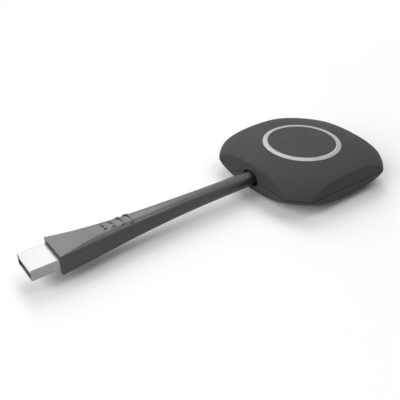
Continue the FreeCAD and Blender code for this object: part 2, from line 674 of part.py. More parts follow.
def make_light_emitters():
    emitters = []
    count = round(size("light_count"))
    for index in range(count):
        angle = 360.0 * index / count
        turn = Rotation(Vector(0, 0, 1), angle)
        emitter = doc.addObject("Part::Box", "emitter")
        bind(emitter, {"Length": "emitter_width", "Width": "emitter_length", "Height": "emitter_height"})
        emitter.Placement = Placement(Vector(), turn)
        cosine, sine = math.cos(math.radians(angle)), math.sin(math.radians(angle))
        inner = "(light_place - emitter_width / 2)"
        place(emitter, "%s * %.9f + emitter_length / 2 * %.9f" % (inner, cosine, sine),
              "%s * %.9f - emitter_length / 2 * %.9f" % (inner, sine, cosine), LIGHT_TOP)
        emitters.append(emitter)
    node("light_emitters", group("light_emitters", *emitters))


def link_places():
    count = round(size("link_count"))
    return ["link_spacing * %.1f" % (index - (count - 1) / 2) for index in range(count)]


def make_board_link():
    strip = box("link_strip", ("-link_half", "-link_place - link_width / 2", BOARD_TOP),
                ("link_half", "-link_place + link_width / 2", CARRIER_TOP))
    holes = [rod("link_hole", "link_pin + cast_gap", (x, "-link_place", BOARD_TOP), CARRIER_UNDER)
             for x in link_places()]
    node("board_link", cut("board_link", strip, *holes))
    pins = [rod("link_rod", "link_pin", (x, "-link_place", BOARD_TOP), CARRIER_TOP + " - " + BOARD_TOP)
            for x in link_places()]
    node("link_pins", group("link_pins", *pins))


# Screws with a cross recess in a head that faces down
def screw(name, x, y, seat, head_radius, head_height, shank_radius, tip):
    head_low = "%s - %s" % (seat, head_height)
    head = rod(name + "_head", head_radius, (x, y, head_low), head_height)
    shank = rod(name + "_shank", shank_radius, (x, y, seat), "(%s) - (%s)" % (tip, seat))
    reach = "(%s) * recess_long" % head_radius
    slots = []
    for long_x, long_y in ((reach, "recess_width / 2"), ("recess_width / 2", reach)):
        slot_low = ("(%s) - (%s)" % (x, long_x), "(%s) - (%s)" % (y, long_y), head_low)
        slot_high = ("(%s) + (%s)" % (x, long_x), "(%s) + (%s)" % (y, long_y),
                     "%s + (%s) * recess_deep" % (head_low, head_height))
        slots.append(box(name + "_slot", slot_low, slot_high))
    return cut(name, join(name + "_blank", head, shank), *slots)


def make_screws():
    node("case_screws", group("case_screws", *[
        screw("case_screw", x, y, HEAD_SEAT, "head_radius", "head_height", "screw_radius", SCREW_TIP)
        for x, y in corner_places()]))
    node("carrier_screws", group("carrier_screws", *[
        screw("carrier_screw", x, y, CARRIER_UNDER, "lug_head", "lug_head_height", "lug_screw",
              CARRIER_TOP + " + lug_screw_reach")
        for x, y in spots("lug_place", round(size("lug_count")), 90)]))


# Main board and what is soldered to it
def make_main_board():
    edge = "lip_thick + board_gap"
    blank = rounded_square("board_blank", "wall + lip_gap + " + edge, "wall + lip_round_gap + " + edge,
                           BOARD_UNDER, BOARD_TOP)
    notch = box("board_notch", ("-" + BOARD_HALF, "-notch_half", BOARD_UNDER),
                ("-notch_end", "notch_half", BOARD_TOP))
    holes = [rod("board_hole", "screw_radius + screw_gap", (x, y, BOARD_UNDER), "board_thick")
             for x, y in corner_places()]
    node("main_board", cut("main_board", blank, notch, *holes))


def make_switch():
    case = box("switch_blank", ("-switch_half", "-switch_half", BOARD_TOP),
               ("switch_half", "switch_half", BOARD_TOP + " + switch_height"))
    well = rod("switch_well", "stem_foot + slide_gap", ("0", "0", BOARD_TOP + " + switch_floor"),
               "switch_height")
    node("switch_body", cut("switch_body", case, well))
    frame = body("switch_frame")
    frame_level = BOARD_TOP + " + switch_height"
    pad(frame, rectangle(frame, "XY", ("-switch_half", "-switch_half"), ("switch_half", "switch_half"),
                         frame_level), "switch_plate")
    pocket(frame, circles(frame, "XY", [("stem_radius + slide_gap", "0", "0")], frame_level),
           "switch_plate")
    stem = body("switch_stem")
    foot_high = frame_level + " - slide_gap"
    foot_low = foot_high + " - stem_foot_thick"
    stem_high = SWITCH_TOP + " + stem_proud"
    revolve(stem, outline(stem, "XZ", [("0", foot_low), ("stem_foot", foot_low), ("stem_foot", foot_high),
                                       ("stem_radius", foot_high), ("stem_radius", stem_high),
                                       ("0", stem_high)]))


def chip(name, x, y, length, width, height, level=BOARD_TOP):
    return box(name, (x, y, level),
               ("%s + %s" % (x, length), "%s + %s" % (y, width), "%s + %s" % (level, height)))


def make_processor_stack():
    low, high = "chip_place - chip_half", "chip_place + chip_half"
    chip_under = BOARD_UNDER + " - chip_height"
    pad_under = BOARD_UNDER + " - chip_height - thermal_thick"
    node("processor", box("processor", (low, "-chip_half", chip_under),
                          (high, "chip_half", BOARD_UNDER)))
    node("thermal_pad", box("thermal_pad", (low, "-chip_half", pad_under),
                            (high, "chip_half", chip_under)))
    plate = rod("spreader_plate", "spreader_radius", ("0", "0", FLOOR_TOP), "spreader_thick")
    block = box("spreader_block", (low, "-chip_half", FLOOR_TOP), (high, "chip_half", pad_under))
    node("heat_spreader", join("heat_spreader", plate, block))


def make_memory_chips():
    chips = [chip("memory_chip", x, MEMORY_NEAR, "memory_width", "memory_length", "memory_height")
             for x in ("memory_gap / 2", "-memory_gap / 2 - memory_width")]
    node("memory_chips", group("memory_chips", *chips))


def make_radio():
    node("radio_board", chip("radio_board", RADIO_NEAR, "-radio_half", "radio_length", "2 * radio_half",
                             "radio_thick"))
    can_low = BOARD_TOP + " + radio_thick"
    can = box("radio_can", (RADIO_NEAR + " + shield_inset", "-radio_half + shield_inset", can_low),
              (RADIO_NEAR + " + radio_length - shield_inset", "radio_half - shield_inset",
               can_low + " + shield_height"))
    inset = "shield_inset + shield_wall"
    room = box("radio_room", (RADIO_NEAR + " + " + inset, "-radio_half + " + inset, can_low),
               (RADIO_NEAR + " + radio_length - (%s)" % inset, "radio_half - (%s)" % inset,
                can_low + " + shield_height - shield_wall"))
    node("radio_shield", cut("radio_shield", can, room))


def make_antennas():
    chips = [chip("antenna", ANTENNA_SIDE + " - antenna_width", y, "antenna_width", "antenna_length",
                  "antenna_height") for y in (ANTENNA_END + " - antenna_length", "-" + ANTENNA_END)]
    node("antennas", group("antennas", *chips))


def make_power_parts():
    small = [chip("power_chip", "-small_chip * %.1f" % step, "-%s - small_chip" % MEMORY_NEAR, "small_chip",
                  "small_chip", "small_chip_height") for step in (3.3, 2.0)]
    node("power_chips", group("power_chips", *small))
    coils = [chip("coil", "coil_width * %.1f" % step, "-%s - coil_width" % MEMORY_NEAR, "coil_width",
                  "coil_width", "coil_height") for step in (1.0, 2.4)]
    node("inductors", group("inductors", *coils))
    node("crystal", chip("crystal", "-memory_gap / 2 - memory_width - 1.5 * crystal_length", MEMORY_NEAR,
                         "crystal_length", "crystal_width", "crystal_height"))
    capacitors = []
    for x, y in (("memory_gap / 2 + memory_width + cap_width", MEMORY_NEAR),
                 ("-memory_gap / 2 - memory_width - cap_width - cap_length",
                  "-%s - cap_spacing * 4" % MEMORY_NEAR)):
        for index in range(4):
            capacitors.append(chip("capacitor", x, "%s + cap_spacing * %d" % (y, index), "cap_length",
                                   "cap_width", "cap_width"))
    node("capacitors", group("capacitors", *capacitors))


# Lead: the wires' route from a contact, through the arm, to the board plug
def contact_places():
    return ["-contact_outer", "-contact_inner", "contact_inner", "contact_outer"]


def rounded_path(points, radius):
    edges = []
    start = points[0]
    for before, corner, after in zip(points, points[1:], points[2:]):
        back = (before - corner).normalize()
        ahead = (after - corner).normalize()
        half_turn = (math.pi - back.getAngle(ahead)) / 2
        trim = radius * math.tan(half_turn)
        middle = (back + ahead).normalize()
        centre = corner + middle * (radius / math.cos(half_turn))
        arc_start = corner + back * trim
        arc_end = corner + ahead * trim
        edges.append(Part.makeLine(start, arc_start))
        edges.append(Part.Arc(arc_start, centre - middle * radius, arc_end).toShape())
        start = arc_end
    edges.append(Part.makeLine(start, points[-1]))
    return Part.Wire(edges)


def wire_routes():
    axis = size(ARM_AXIS)
    spread = size("wire_spread")
    middle = (size("wire_count") - 1) / 2
    contact_y = [size(y) for y in contact_places()]
    contact_z = size(TONGUE_UNDER + " - contact_thick / 2 - cast_gap - wire_radius")
    plug_z = size(BOARD_TOP) + size("socket_height") / 2
    shell_rear = -size(SHELL_REAR)
    plug_rear = -size("socket_near") - size("plug_out")
    routes = []
    for index, (side, level) in enumerate(((-1, 1), (-1, -1), (1, -1), (1, 1))):
        y = side * spread
        z = axis + level * spread
        end_y = (index - middle) * size("wire_spacing")
        routes.append([
            Vector(shell_rear + size("fit_gap"), contact_y[index], contact_z),
            Vector(shell_rear + size("contact_tail * 1.5"), contact_y[index], contact_z),
            Vector(shell_rear + size("chamber_length - bend_radius / 4"), y, z),
            Vector(-size("jacket_end - 2 * braid_strip"), y, z),
            Vector(plug_rear - size("plug_out"), end_y, plug_z),
            Vector(plug_rear + size("wire_grip"), end_y, plug_z)])
    return routes


def make_lead_conductors():
    wires = []
    for route in wire_routes():
        path = rounded_path(route, size("bend_radius"))
        ring = Part.makeCircle(size("wire_radius"), route[0], Vector(1, 0, 0))
        wires.append(path.makePipeShell([Part.Wire(ring)], True, False))
    conductors = doc.addObject("Part::Feature", "lead_conductors")
    conductors.Shape = Part.makeCompound(wires)
    node("lead_conductors", conductors)


def tube(name, outer, wall, start, end):
    length = "(%s) - (%s)" % (start, end)
    place_at = ("-(%s)" % start, "0", ARM_AXIS)
    return cut(name, rod(name + "_outer", outer, place_at, length, "x"),
               rod(name + "_bore", "%s - %s" % (outer, wall), place_at, length, "x"))


def make_lead_layers():
    braid_outer = "jacket_radius - jacket_wall - cast_gap"
    node("lead_jacket", tube("lead_jacket", "jacket_radius", "jacket_wall", CORE_REAR, "jacket_end"))
    node("lead_braid", tube("lead_braid", braid_outer, "braid_wall", CORE_REAR + " + braid_strip",
                            "jacket_end - braid_strip"))


def make_board_socket():
    rear, front = "-socket_near", "-socket_near + socket_length"
    top = BOARD_TOP + " + socket_height"
    blank = box("socket_blank", (rear, "-socket_half", BOARD_TOP), (front, "socket_half", top))
    room = box("socket_room", (rear, "-socket_half + socket_wall", BOARD_TOP + " + socket_wall"),
               (front + " - socket_wall", "socket_half - socket_wall", top + " - socket_wall"))
    node("board_socket", cut("board_socket", blank, room))
    plug = box("plug_blank", ("-socket_near - plug_out", "-socket_half + socket_wall + fit_gap",
                              BOARD_TOP + " + socket_wall + fit_gap"),
               (front + " - socket_wall - fit_gap", "socket_half - socket_wall - fit_gap",
                top + " - socket_wall - fit_gap"))
    count = round(size("wire_count"))
    holes = []
    for index in range(count):
        y = "wire_spacing * %.1f" % (index - (count - 1) / 2)
        start = ("-socket_near - plug_out", y, BOARD_TOP + " + socket_height / 2")
        holes.append(rod("plug_hole", "wire_radius + cast_gap", start, "wire_grip + fit_gap", "x"))
    node("board_plug", cut("board_plug", plug, *holes))


# Plug: shell, tongue, contacts and the hard core behind them
def make_plug_shell():
    shell = body("plug_shell")
    half, rise = "shell_width / 2", "shell_height / 2"
    low, high = (ARM_AXIS + " - " + rise), (ARM_AXIS + " + " + rise)
    length = "shell_out + shell_in"
    blank = pad(shell, rectangle(shell, "YZ", ("-" + half, low), (half, high), "-" + SHELL_TIP), length)
    soften(shell, blank, runs_along(Vector(1, 0, 0)), "shell_corner")
    inner_low = low + " + shell_sheet"
    inner_high = high + " - shell_sheet"
    room = pocket(shell, rectangle(shell, "YZ", ("-" + half + " + shell_sheet", inner_low),
                                   (half + " - shell_sheet", inner_high), "-" + SHELL_TIP), length)

    def inner_corner(edge):
        return (runs_along(Vector(1, 0, 0))(edge)
                and abs(abs(edge.CenterOfMass.y) - size(half + " - shell_sheet")) < 0.001)
    soften(shell, room, inner_corner, "shell_corner - shell_sheet")
    window_near = "-%s + window_back - window_length / 2" % SHELL_TIP
    window_far = "-%s + window_back + window_length / 2" % SHELL_TIP
    for middle in ("window_side", "-window_side"):
        window = rectangle(shell, "XY", (window_near, middle + " - window_width / 2"),
                           (window_far, middle + " + window_width / 2"), low + " - shell_sheet")
        pocket(shell, window, "3 * shell_sheet")


def contact_strips(name, gap):
    near = "-%s + contact_back - %s" % (SHELL_TIP, gap)
    far = "-%s + contact_tail" % SHELL_REAR
    half, rise = "contact_width / 2 + " + gap, "contact_thick / 2 + " + gap
    return [box(name, (near, "%s - (%s)" % (y, half), "%s - (%s)" % (TONGUE_UNDER, rise)),
                (far, "%s + %s" % (y, half), "%s + %s" % (TONGUE_UNDER, rise)))
            for y in contact_places()]


def make_plug_tongue():
    tip, rear = "-%s + tongue_back" % SHELL_TIP, "-" + SHELL_REAR
    side = "(shell_width / 2 - shell_sheet - fit_gap)"
    high = TONGUE_UNDER + " + tongue_thick"
    low = ARM_AXIS + " - shell_height / 2 + shell_sheet + cast_gap"
    tongue = box("tongue_blade", (tip, "-" + side, TONGUE_UNDER), (rear, side, high))
    block = box("tongue_block", ("-%s + tongue_back + tongue_length" % SHELL_TIP, "-" + side, low),
                (rear, side, high))
    strips = contact_strips("contact", "0")
    slots = contact_strips("tongue_slot", "cast_gap")
    softened = doc.addObject("Part::Fillet", "tongue_rounded")
    whole = join("tongue_whole", tongue, block)
    doc.recompute()
    softened.Base = whole
    softened.Edges = [(index + 1, size("shell_corner - shell_sheet"), size("shell_corner - shell_sheet"))
                      for index, edge in enumerate(whole.Shape.Edges)
                      if runs_along(Vector(1, 0, 0))(edge)
                      and abs(edge.CenterOfMass.y) > size(side) - 0.01
                      and abs(edge.CenterOfMass.z - size(ARM_AXIS)) > size("tongue_thick / 2")]
    node("plug_tongue", cut("plug_tongue", softened, *slots))
    node("plug_contacts", group("plug_contacts", *strips))


def core_wedge(name, extra):
    wedge = doc.addObject("Part::Wedge", name)
    wedge.Placement = Placement(Vector(), Rotation(Vector(0, 0, 1), -90))
    bind(wedge, {"Xmin": "-core_half - " + extra, "Xmax": "core_half + " + extra,
                 "Zmin": "-core_rise - " + extra, "Zmax": "core_rise + " + extra,
                 "X2min": "-core_tail_half - " + extra, "X2max": "core_tail_half + " + extra,
                 "Z2min": "-core_tail_rise - " + extra, "Z2max": "core_tail_rise + " + extra,
                 "Ymin": "0", "Ymax": "core_length"})
    return place(wedge, x="-" + SHELL_REAR, z=ARM_AXIS)


def make_plug_core():
    chamber = box("core_chamber", ("-" + SHELL_REAR, "-chamber_half", ARM_AXIS + " - chamber_rise"),
                  ("-%s + chamber_length" % SHELL_REAR, "chamber_half", ARM_AXIS + " + chamber_rise"))
    bore = rod("core_bore", "jacket_radius - jacket_wall", ("-" + SHELL_REAR, "0", ARM_AXIS),
               "core_length", "x")
    node("plug_core", cut("plug_core", core_wedge("core_blank", "0"), chamber, bore))


# Moulded arm
def arm_section(name, station, inset):
    distance, half, rise, flat, drop, corner, full = station
    half -= inset
    x = -distance
    middle = size(ARM_AXIS)
    low, high = middle - rise + inset, middle + rise - inset
    shoulder_y = flat + (half - flat) * full
    shoulder_z = high - drop + drop * full
    slant = corner * (1 - math.sqrt(0.5))
    right = [Vector(x, flat, high), Vector(x, shoulder_y, shoulder_z), Vector(x, half, high - drop),
             Vector(x, half, low + corner), Vector(x, half - slant, low + slant),
             Vector(x, half - corner, low)]
    left = [Vector(x, -point.y, point.z) for point in reversed(right)]
    edges = [Part.makeLine(left[-1], right[0])]
    for side, other in ((right, left), (left, right)):
        edges.append(Part.Arc(*side[0:3]).toShape())
        edges.append(Part.makeLine(side[2], side[3]))
        edges.append(Part.Arc(*side[3:6]).toShape())
        if side is right:
            edges.append(Part.makeLine(side[5], other[0]))
    section = doc.addObject("Part::Feature", name)
    section.Shape = Part.Wire(edges)
    return section


def arm_loft(name, inset):
    neck, flat = size("arm_neck"), size("arm_flat")
    front = (size("arm_front"),) + ARM_SECTIONS[0][1:]
    rear = (size("anchor_near"), neck, neck, flat, neck - flat, neck - flat, math.sqrt(0.5))
    loft = doc.addObject("Part::Loft", name)
    loft.Sections = [arm_section(name + "_section", station, inset)
                     for station in [front] + ARM_SECTIONS[1:] + [rear]]
    loft.Solid = True
    return loft


def grip_ribs():
    bands = []
    low, high = ARM_AXIS, ARM_AXIS + " + shell_width"
    for distance, radius, half in GRIP_RIBS:
        middle = (str(-distance), "0", low)
        outer = rod("rib_outer", "%s + rib_width" % radius, middle, "shell_width")
        inner = rod("rib_inner", str(radius), middle, "shell_width")
        length = box("rib_length", (str(-distance), str(-half), low),
                     ("%s + 2 * rib_width" % (radius - distance), str(half), high))
        bands.append(overlap("rib_band", cut("rib_ring", outer, inner), length))
    return overlap("ribs", join("rib_bands", *bands), arm_loft("rib_skin", -size("rib_height")))


def make_lead_overmould():
    plan = doc.addObject("Part::Fillet", "arm_plan")
    half = str(ARM_SECTIONS[0][1])
    plan.Base = box("arm_plan_box", ("-arm_front", "-" + half, "0"), ("-anchor_near", half, DOME_TOP))
    doc.recompute()
    plan.Edges = [(index + 1, size("nose_round"), size("nose_round"))
                  for index, edge in enumerate(plan.Base.Shape.Edges)
                  if runs_along(Vector(0, 0, 1))(edge) and edge.CenterOfMass.x < -size("arm_front - wall")]
    grip = overlap("arm_grip", arm_loft("arm_loft", 0), plan)
    tail = rod("arm_tail", "arm_neck", ("-anchor_near", "0", ARM_AXIS), "anchor_near - anchor_tail", "x")
    flange = rod("arm_flange", "anchor_radius", ("-anchor_near", "0", ARM_AXIS), "anchor_thick", "x")
    bore = rod("arm_bore", "jacket_radius + cast_gap", ("-" + CORE_REAR, "0", ARM_AXIS),
               CORE_REAR + " - anchor_tail", "x")
    side, rise = "(shell_width / 2 + cast_gap)", "(shell_height / 2 + cast_gap)"
    shell_room = box("arm_shell_room", ("-arm_front", "-" + side, ARM_AXIS + " - " + rise),
                     ("-" + SHELL_REAR, side, ARM_AXIS + " + " + rise))
    whole = join("arm_whole", grip, grip_ribs(), tail, flange)
    node("lead_overmould", cut("lead_overmould", whole, bore, shell_room,
                               core_wedge("arm_core_room", "cast_gap")))


def write_parts():
    doc.recompute()
    for thing in doc.Objects:
        if "Invalid" in thing.State or "Error" in thing.State:
            raise RuntimeError("%s failed: %s" % (thing.Name, thing.State))
    os.makedirs("parts", exist_ok=True)
    for name, thing in parts.items():
        shape = thing.Shape
        if shape.isNull() or not shape.isValid() or not shape.Solids:
            raise RuntimeError(name + " has no valid solid")
        shape.exportStep("parts/%s.step" % name)
        print("%-16s %d solids %10.2f mm3" % (name, len(shape.Solids), shape.Volume))


make_top_cover()
make_bottom_cover()
make_foot_pad()
make_light_ring()
make_button_cap()
make_button_carrier()
make_light_board()
make_light_emitters()
make_board_link()
make_screws()
make_main_board()
make_switch()
make_processor_stack()
make_memory_chips()
make_radio()
make_antennas()
make_power_parts()
make_board_socket()
make_lead_conductors()
make_lead_layers()
make_plug_shell()
make_plug_tongue()
make_plug_core()
make_lead_overmould()
write_parts()
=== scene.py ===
import math

import bpy
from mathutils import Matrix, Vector

# Wireless presentation dongle: materials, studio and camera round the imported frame, in metres

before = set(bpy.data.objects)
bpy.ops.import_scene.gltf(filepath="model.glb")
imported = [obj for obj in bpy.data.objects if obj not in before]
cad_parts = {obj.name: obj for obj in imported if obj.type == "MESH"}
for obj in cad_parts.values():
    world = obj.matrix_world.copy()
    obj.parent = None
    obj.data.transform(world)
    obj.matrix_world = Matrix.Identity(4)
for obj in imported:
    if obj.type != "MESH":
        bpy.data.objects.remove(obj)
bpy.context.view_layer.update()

MM = 0.001

# Camera: place in metres, heading and downward tilt in degrees, focal length and sensor in millimetres
CAMERA_PLACE = (-0.16966, -0.15740, 0.13479)
CAMERA_AZIMUTH = 53.955
CAMERA_PITCH = 33.145
CAMERA_LENS = 52.26
SENSOR_WIDTH = 36.0
CLIP_NEAR = 0.005
CLIP_FAR = 20.0

# Lamps: name, azimuth and elevation from the lit place in degrees, width in metres, power in watts
LAMPS = (
    ("back", 72, 37, 1.1, 8.0),
    ("top", 54, 60, 1.1, 10.2),
    ("left", 183, 32, 2.0, 41.0),
    ("right", 324, 65, 1.1, 7.8),
)
LIT_PLACE = Vector((-0.05, 0, 0.01))
LAMP_DISTANCE = 2.0
WORLD_LIGHT = 0.18

# Floor: half its side in metres, its shade, and the distances in millimetres between which it turns white
FLOOR_HALF = 3.0
FLOOR_SHADE = 0.9
SWEEP_NEAR = 120.0
SWEEP_FAR = 330.0

# Textures: axis numbers, the range that most noise lies in, and the facing of a fully worn edge
X, Y, Z = range(3)
NOISE_LOW = 0.3
NOISE_HIGH = 0.7
BEVEL_SAMPLES = 6
WORN_FACING = 0.75

# The numbers of the colour sockets on Blender's mix node
MIX_FIRST = 6
MIX_SECOND = 7
MIX_RESULT = 2

# Finishes: shades are linear colour, pitches and the braid's height over the table are in millimetres
DUST_SHARE = 0.2
DUST_SHADE = (0.35, 0.34, 0.33)
LINT_SHADE = (0.09, 0.088, 0.085)
FOOT_GROOVE_PITCH = 0.8
WIRE_SHADES = ((0.45, 0.03, 0.03), (0.75, 0.75, 0.73), (0.05, 0.32, 0.09), (0.02, 0.02, 0.02))
WIRE_DULL_SHADE = (0.2, 0.2, 0.2)
BRAID_HEIGHT = 8.72
BRAID_STRANDS = 8.0
BRAID_PITCH = 1.2
TRACK_STEPS = 7.0
TRACK_SHADE = (0.03, 0.12, 0.06)
PAD_SHADE = (0.7, 0.55, 0.25)


# Camera and lamps
def direction(azimuth, elevation):
    around, up = math.radians(azimuth), math.radians(elevation)
    return Vector((math.cos(around) * math.cos(up), math.sin(around) * math.cos(up), math.sin(up)))


def link_aimed(thing, ahead):
    thing.rotation_mode = "QUATERNION"
    thing.rotation_quaternion = ahead.to_track_quat("-Z", "Y")
    bpy.context.scene.collection.objects.link(thing)


def make_camera():
    data = bpy.data.cameras.new("camera")
    data.lens = CAMERA_LENS
    data.sensor_width = SENSOR_WIDTH
    data.clip_start = CLIP_NEAR
    data.clip_end = CLIP_FAR
    camera = bpy.data.objects.new("camera", data)
    camera.location = CAMERA_PLACE
    link_aimed(camera, direction(CAMERA_AZIMUTH, -CAMERA_PITCH))
    bpy.context.scene.camera = camera


def make_lamp(name, azimuth, elevation, width, power):
    data = bpy.data.lights.new(name, "AREA")
    data.shape = "DISK"
    data.size = width
    data.energy = power
    lamp = bpy.data.objects.new(name, data)
    lamp.location = LIT_PLACE + LAMP_DISTANCE * direction(azimuth, elevation)
    link_aimed(lamp, -direction(azimuth, elevation))


# Shades and stretches for the textures
def opaque(shade):
    return (*shade, 1.0) if isinstance(shade, tuple) else shade


def tinted(shade, factor):
    return tuple(channel * factor for channel in shade)


def drawn_out(along, factor):
    return tuple(factor if axis == along else 1.0 for axis in (X, Y, Z))


# A material and its nodes: sizes, radii and depths are in millimetres, and places are in the part's frame
class Paint:
    def __init__(self, name, colour, roughness, metallic=0.0, **settings):
        self.material = bpy.data.materials.new(name)
        self.material.use_nodes = True
        self.tree = self.material.node_tree
        self.shader = self.tree.nodes["Principled BSDF"]
        self.shader.inputs["Base Color"].default_value = opaque(colour)
        self.shader.inputs["Roughness"].default_value = roughness
        self.shader.inputs["Metallic"].default_value = metallic
        for key, value in settings.items():
            self.shader.inputs[key.replace("_", " ")].default_value = value
        coordinates = self.node("ShaderNodeTexCoord")
        self.place = self.vector_maths("SCALE", coordinates.outputs["Object"], 1 / MM)
        self.normal = None

    def node(self, kind, **properties):
        made = self.tree.nodes.new(kind)
        for key, value in properties.items():
            setattr(made, key, value)
        return made

    def feed(self, socket, value):
        if isinstance(value, bpy.types.NodeSocket):
            self.tree.links.new(value, socket)
        elif value is not None:
            socket.default_value = value

    def vector_maths(self, operation, vector, amount=None):
        made = self.node("ShaderNodeVectorMath", operation=operation)
        self.feed(made.inputs[0], vector)
        self.feed(made.inputs["Scale" if operation == "SCALE" else 1], amount)
        return made.outputs["Value" if operation in ("DOT_PRODUCT", "LENGTH") else "Vector"]

    def maths(self, operation, first, second=None):
        made = self.node("ShaderNodeMath", operation=operation)
        self.feed(made.inputs[0], first)
        self.feed(made.inputs[1], second)
        return made.outputs["Value"]

    def times(self, value, factor):
        return self.maths("MULTIPLY", value, factor)

    def noise(self, size, detail=2.0, stretch=(1, 1, 1), harshness=0.5, warp=0.0):
        made = self.node("ShaderNodeTexNoise")
        self.feed(made.inputs["Vector"], self.vector_maths("MULTIPLY", self.place, Vector(stretch)))
        self.feed(made.inputs["Scale"], 1 / size)
        self.feed(made.inputs["Detail"], detail)
        self.feed(made.inputs["Roughness"], harshness)
        self.feed(made.inputs["Distortion"], warp)
        return made.outputs["Fac"]

    def cells(self, size, distance="EUCLIDEAN"):
        made = self.node("ShaderNodeTexVoronoi", distance=distance)
        self.feed(made.inputs["Vector"], self.place)
        self.feed(made.inputs["Scale"], 1 / size)
        return made.outputs["Distance"]

    def between(self, value, low, high, start=0.0, end=1.0):
        made = self.node("ShaderNodeMapRange", interpolation_type="SMOOTHSTEP")
        for socket, number in zip(made.inputs, (value, low, high, start, end)):
            self.feed(socket, number)
        return made.outputs["Result"]

    def spread(self, noise, start=0.0, end=1.0):
        return self.between(noise, NOISE_LOW, NOISE_HIGH, start, end)

    def blend(self, mask, first, second):
        made = self.node("ShaderNodeMix", data_type="RGBA", blend_type="MIX")
        self.feed(made.inputs["Factor"], mask)
        self.feed(made.inputs[MIX_FIRST], opaque(first))
        self.feed(made.inputs[MIX_SECOND], opaque(second))
        return made.outputs[MIX_RESULT]

    def facing(self, normal):
        surface = self.node("ShaderNodeNewGeometry")
        return self.vector_maths("DOT_PRODUCT", surface.outputs["Normal"], normal)

    def round_edges(self, radius):
        bevel = self.node("ShaderNodeBevel", samples=BEVEL_SAMPLES)
        self.feed(bevel.inputs["Radius"], radius * MM)
        self.normal = bevel.outputs["Normal"]

    def worn_edges(self, radius):
        self.round_edges(radius)
        return self.between(self.facing(self.normal), low=1.0, high=WORN_FACING)

    def bump(self, height, depth):
        made = self.node("ShaderNodeBump")
        self.feed(made.inputs["Strength"], 1.0)
        self.feed(made.inputs["Distance"], depth * MM)
        self.feed(made.inputs["Height"], height)
        self.feed(made.inputs["Normal"], self.normal)
        self.normal = made.outputs["Normal"]

    def done(self, colour, roughness):
        self.feed(self.shader.inputs["Base Color"], colour)
        self.feed(self.shader.inputs["Roughness"], roughness)
        self.feed(self.shader.inputs["Normal"], self.normal)
        return self.material


# Moulded plastics and rubber
def moulded(name, colour, roughness, grain, depth, wear, **settings):
    paint = Paint(name, colour, roughness, **settings)
    worn = paint.worn_edges(radius=0.22)
    patches = paint.between(paint.noise(size=2.5, detail=4.0), low=0.42, high=0.62, start=0.15)
    broken = paint.times(worn, patches)
    fine = paint.noise(size=grain)
    cloud = paint.noise(size=18.0, detail=3.0)
    tone = paint.maths("ADD", paint.times(fine, 0.5), paint.times(cloud, 0.5))
    shade = paint.blend(paint.between(tone, low=0.35, high=0.65), tinted(colour, 0.84), tinted(colour, 1.18))
    scuff = paint.noise(size=0.35, detail=3.0, stretch=drawn_out(Y, 0.07), harshness=0.7)
    shade = paint.blend(paint.between(scuff, low=0.66, high=0.72, end=0.35), shade, tinted(colour, 1.7))
    shade = paint.blend(paint.times(broken, wear), shade, tinted(colour, 2.6))
    specks = paint.between(paint.cells(size=1.1), low=0.08, high=0.03)
    level = paint.between(paint.facing(Vector((0, 0, 1))), low=0.7, high=1.0, end=DUST_SHARE)
    shade = paint.blend(paint.times(specks, level), shade, DUST_SHADE)
    gloss = paint.between(cloud, low=0.35, high=0.65, start=roughness - 0.05, end=roughness + 0.05)
    gloss = paint.maths("SUBTRACT", gloss, paint.times(broken, 0.12 * wear))
    paint.bump(fine, depth)
    return paint.done(shade, gloss)


def case_black():
    colour = (0.0312, 0.0316, 0.0324)
    return moulded("case_black", colour, 0.64, grain=0.28, depth=0.012, wear=0.5, Specular_IOR_Level=0.2)


def arm_rubber():
    colour = (0.0172, 0.0172, 0.0175)
    return moulded("arm_rubber", colour, 0.3, grain=0.16, depth=0.006, wear=0.35, Specular_IOR_Level=0.6)


def button_black():
    colour = (0.0232, 0.0234, 0.0238)
    paint = Paint("button_black", colour, 0.5, Specular_IOR_Level=0.2)
    paint.round_edges(radius=0.2)
    fine = paint.noise(size=0.2)
    touched = paint.between(paint.noise(size=6.0, detail=4.0, warp=1.5), low=0.48, high=0.66)
    shade = paint.blend(fine, tinted(colour, 0.85), tinted(colour, 1.15))
    shade = paint.blend(paint.times(touched, 0.3), shade, tinted(colour, 1.2))
    paint.bump(fine, depth=0.008)
    return paint.done(shade, paint.between(touched, low=0.0, high=1.0, start=0.52, end=0.47))


# Rubber foot: fine round grooves about the button's axis, and lint on top
def foot_rubber():
    colour = (0.018, 0.018, 0.019)
    paint = Paint("foot_rubber", colour, 0.8)
    paint.round_edges(radius=0.2)
    level = paint.vector_maths("MULTIPLY", paint.place, Vector((1, 1, 0)))
    turns = paint.times(paint.vector_maths("LENGTH", level), 2 * math.pi / FOOT_GROOVE_PITCH)
    lint = paint.noise(size=0.5, detail=4.0, harshness=0.7)
    shade = paint.blend(paint.between(lint, low=0.62, high=0.7, end=0.5), colour, LINT_SHADE)
    paint.bump(paint.maths("ADD", paint.maths("SINE", turns), paint.noise(size=0.15)), depth=0.02)
    return paint.done(shade, paint.spread(paint.noise(size=2.0), 0.72, 0.86))


def ring_satin():
    colour = (0.37, 0.374, 0.38)
    paint = Paint("ring_satin", colour, 0.38)
    paint.round_edges(radius=0.12)
    haze = paint.noise(size=3.0, detail=3.0)
    shade = paint.blend(paint.spread(haze), tinted(colour, 0.95), tinted(colour, 1.04))
    paint.bump(paint.noise(size=0.12), depth=0.003)
    return paint.done(shade, paint.spread(haze, 0.32, 0.44))


def inner_plastic(name, colour, roughness, grain=0.3, depth=0.01, **settings):
    paint = Paint(name, colour, roughness, **settings)
    paint.round_edges(radius=0.1)
    flow = paint.noise(size=4.0, detail=3.0, stretch=drawn_out(Y, 0.25), warp=0.6)
    shade = paint.blend(flow, tinted(colour, 0.86), tinted(colour, 1.1))
    paint.bump(paint.noise(size=grain), depth)
    return paint.done(shade, paint.spread(flow, roughness - 0.06, roughness + 0.06))


